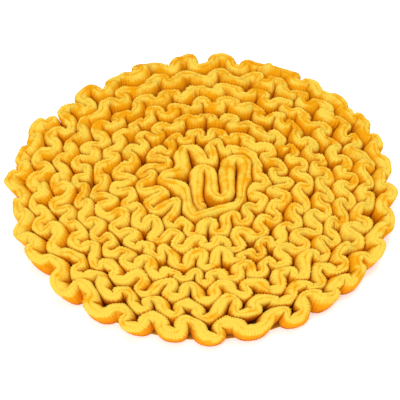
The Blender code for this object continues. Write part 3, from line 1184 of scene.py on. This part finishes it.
# ---------------- the base cloth
@dataclass
class BaseCloth:
    """The round base cloth, and the stitches that hold the ruffle, seen from below."""

    spiral: Spiral
    woven: Material
    thread: Material
    radius: float = 0.203
    underside: float = 0.0004
    upper: float = 0.0020
    spokes: int = 192
    rings: int = 14
    ring_power: float = 0.8
    hem_steps: int = 6
    stitch_pitch: float = 0.0052
    stitch_length: float = 0.0036
    stitch_width: float = 0.0010
    stitch_height: float = 0.0008
    first_stitch: float = 0.4
    last_stitch: float = 7.7
    seam_points: int = 20000
    aim_ahead: float = 0.001
    stitch_rings: int = 5
    stitch_sides: int = 6

    def cloth(self) -> Object:
        """The disc: rings out along its top, round its hem, and back in along its underside.

        Returns:
            The cloth, in place of its solid.
        """
        half = (self.upper - self.underside) / 2
        out = np.linspace(0, 1, self.rings)[1:] ** self.ring_power * (self.radius - half)
        turn = np.linspace(0, math.pi, self.hem_steps + 1)[1:-1]
        radius = np.concatenate([out, self.radius - half + half * np.sin(turn), out[::-1]])
        hem = (self.upper + self.underside) / 2 + half * np.cos(turn)
        level = np.concatenate([0 * out + self.upper, hem, 0 * out + self.underside])
        angle = np.linspace(0, 2 * math.pi, self.spokes, endpoint=False)
        rings = [np.outer(radius, np.cos(angle)), np.outer(radius, np.sin(angle))]
        points = np.stack([*rings, np.outer(level, 1 + 0 * angle)], axis=-1).reshape(-1, 3)
        poles = [(0, 0, self.upper), (0, 0, self.underside)]
        walls = grid_faces(len(radius), self.spokes)[:, ::-1]
        shape = Shape(np.vstack([points, poles]), [walls, end_fans(len(radius), self.spokes)])
        piece = shape.piece("base_cloth_woven", self.woven, Slot.BASE)
        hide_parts("base_cloth")
        return piece

    def stitches(self) -> Object:
        """The seam below: short round stitches, end to end along the spiral.

        Each stitch is a capsule: rings whose width and height follow the square root of 1 less
        the fourth power of how far they are along it.

        Returns:
            The stitching, one piece.
        """
        turn = np.linspace(self.first_stitch, self.last_stitch, self.seam_points)
        rail = self.spiral.place_at(turn, self.spiral.middle_at(turn))
        walked = length_along(rail)
        at = (np.arange(int(walked[-1] / self.stitch_pitch)) + 0.5) * self.stitch_pitch
        centre, beyond = (
            np.column_stack([np.interp(at + more, walked, axis) for axis in rail.T])
            for more in (0, self.aim_ahead)
        )
        ahead = beyond - centre
        ahead /= np.linalg.norm(ahead, axis=1, keepdims=True)
        left = np.column_stack([-ahead[:, 1], ahead[:, 0]])
        along = np.linspace(-1, 1, self.stitch_rings + 2)[1:-1]
        girth = np.sqrt(1 - along**4)
        sides = np.linspace(0, 2 * math.pi, self.stitch_sides, endpoint=False)
        forward = np.append(np.repeat(along, self.stitch_sides), [-1, 1]) * self.stitch_length / 2
        sideways = np.append(np.outer(girth, np.cos(sides)), [0, 0]) * self.stitch_width / 2
        upward = np.append(np.outer(girth, np.sin(sides)), [0, 0]) * self.stitch_height / 2
        plan = centre[:, None] + ahead[:, None] * forward[:, None] + left[:, None] * sideways[:, None]
        level = np.broadcast_to(self.stitch_height / 2 + upward, plan.shape[:2])
        points = np.concatenate([plan, level[..., None]], axis=2)
        walls = grid_faces(self.stitch_rings, self.stitch_sides)[:, ::-1]
        ends = end_fans(self.stitch_rings, self.stitch_sides)
        start = (np.arange(len(at)) * len(forward))[:, None, None]
        faces = [(walls + start).reshape(-1, 4), (ends + start).reshape(-1, 3)]
        mapped = np.stack(np.broadcast_arrays(at[:, None] + forward, sideways + upward), axis=-1)
        shape = Shape(points.reshape(-1, 3), faces, uv=mapped.reshape(-1, 2))
        piece = shape.piece("underside_stitching", self.thread, Slot.BASE)
        log.info("%s: %d stitches", piece.name, len(at))
        return piece


# ---------------- the studio
@dataclass
class Studio:
    """A pale floor, soft light from above, and the camera at the photograph's angle."""

    elevation: float = math.radians(47.6)
    distance: float = 2.893
    focal_px: float = 2495.0
    frame_px: float = 400.0
    middle_px: Pair = (203.5, 185.0)
    sensor: float = 36.0
    aim_height: float = 0.035
    floor_size: float = 8.0
    floor_colour: Colour = (0.95, 0.95, 0.95)
    floor_glow: float = 0.45
    floor_roughness: float = 0.9
    floor_specular: float = 0.1
    world_strength: float = 0.56
    # Large soft lamps: name, place, width in metres, and watts.
    lamps: tuple[tuple[str, Triple, float, float], ...] = (
        ("lamp_above", (0.15, 0.10, 1.9), 1.6, 19.5),
        ("lamp_front", (-0.5, -1.3, 1.1), 1.0, 9.0),
    )

    def floor(self) -> Object:
        """A flat white floor that glows a little, as the photograph's white ground does.

        It isn't seen from below, so that the mat's underside can be looked at.

        Returns:
            The floor.
        """
        half = self.floor_size / 2
        mesh = bpy.data.meshes.new("floor")
        corners = [(-half, -half, 0), (half, -half, 0), (half, half, 0), (-half, half, 0)]
        mesh.from_pydata(corners, [], [(0, 1, 2, 3)])
        floor = placed("floor", mesh)
        sheet, shader, material = plain_material("floor_paper")
        sheet.feed(
            shader,
            Base_Color=(*self.floor_colour, 1.0),
            Roughness=self.floor_roughness,
            Specular_IOR_Level=self.floor_specular,
            Emission_Color=(1.0, 1.0, 1.0, 1.0),
            Emission_Strength=self.floor_glow,
        )
        below = sheet.add("NewGeometry").outputs["Backfacing"]
        clear = sheet.add("BsdfTransparent").outputs[0]
        mixed = sheet.add("MixShader", below, shader.outputs[0], clear)
        sheet.put(sheet.tree.nodes["Material Output"].inputs["Surface"], mixed.outputs[0])
        mesh.materials.append(material)
        return floor

    def light(self) -> None:
        """Even white light from all round, and the lamps, which are turned to the mat."""
        world = bpy.data.worlds.new("studio")
        world.use_nodes = True
        backdrop = world.node_tree.nodes["Background"]
        NodeSheet(world.node_tree).feed(
            backdrop, Color=(1.0, 1.0, 1.0, 1.0), Strength=self.world_strength
        )
        bpy.context.scene.world = world
        for name, place, width, watts in self.lamps:
            data = bpy.data.lights.new(name, "AREA")
            data.shape = "DISK"
            data.size = width
            data.energy = watts
            point_at(placed(name, data), Vector(place), Vector((0, 0, self.aim_height)))

    def camera(self) -> Object:
        """The camera: above the front, aimed so that the mat's middle lands on its pixel.

        Returns:
            The camera, made the scene's.
        """
        back = Vector((0, -math.cos(self.elevation), math.sin(self.elevation)))
        up = Vector((0, math.sin(self.elevation), math.cos(self.elevation)))
        right = Vector((1, 0, 0))
        middle = Vector((0, 0, self.aim_height))
        per_px = self.distance / self.focal_px
        aside = (self.middle_px[0] - self.frame_px / 2) * per_px
        above = (self.frame_px / 2 - self.middle_px[1]) * per_px
        data = bpy.data.cameras.new("camera")
        data.sensor_width = self.sensor
        data.lens = self.focal_px / self.frame_px * self.sensor
        camera = placed("camera", data)
        point_at(camera, middle + back * self.distance, middle - right * aside - up * above)
        bpy.context.scene.camera = camera
        return camera

    def build(self) -> None:
        """Makes the floor, the light and the camera."""
        bpy.context.scene.view_settings.view_transform = "Standard"
        self.floor()
        self.light()
        self.camera()
        log.info("studio: floor, %d lamps and the camera", len(self.lamps))


def main() -> None:
    """Builds the studio and every piece of the mat."""
    logging.basicConfig(level=logging.INFO, format="%(name)s: %(message)s")
    Studio().build()
    fibre = fibre_group()
    ruffle = Ruffle()
    base = BaseCloth(
        ruffle.spiral,
        WovenFinish(fibre).material("woven_cloth"),
        ThreadFinish(fibre).material("sewing_thread"),
    )
    base.cloth()
    base.stitches()
    PlushStrip(ruffle, PlushFinish(fibre).material("ribbed_plush")).build()


if __name__ == "__main__":
    main()
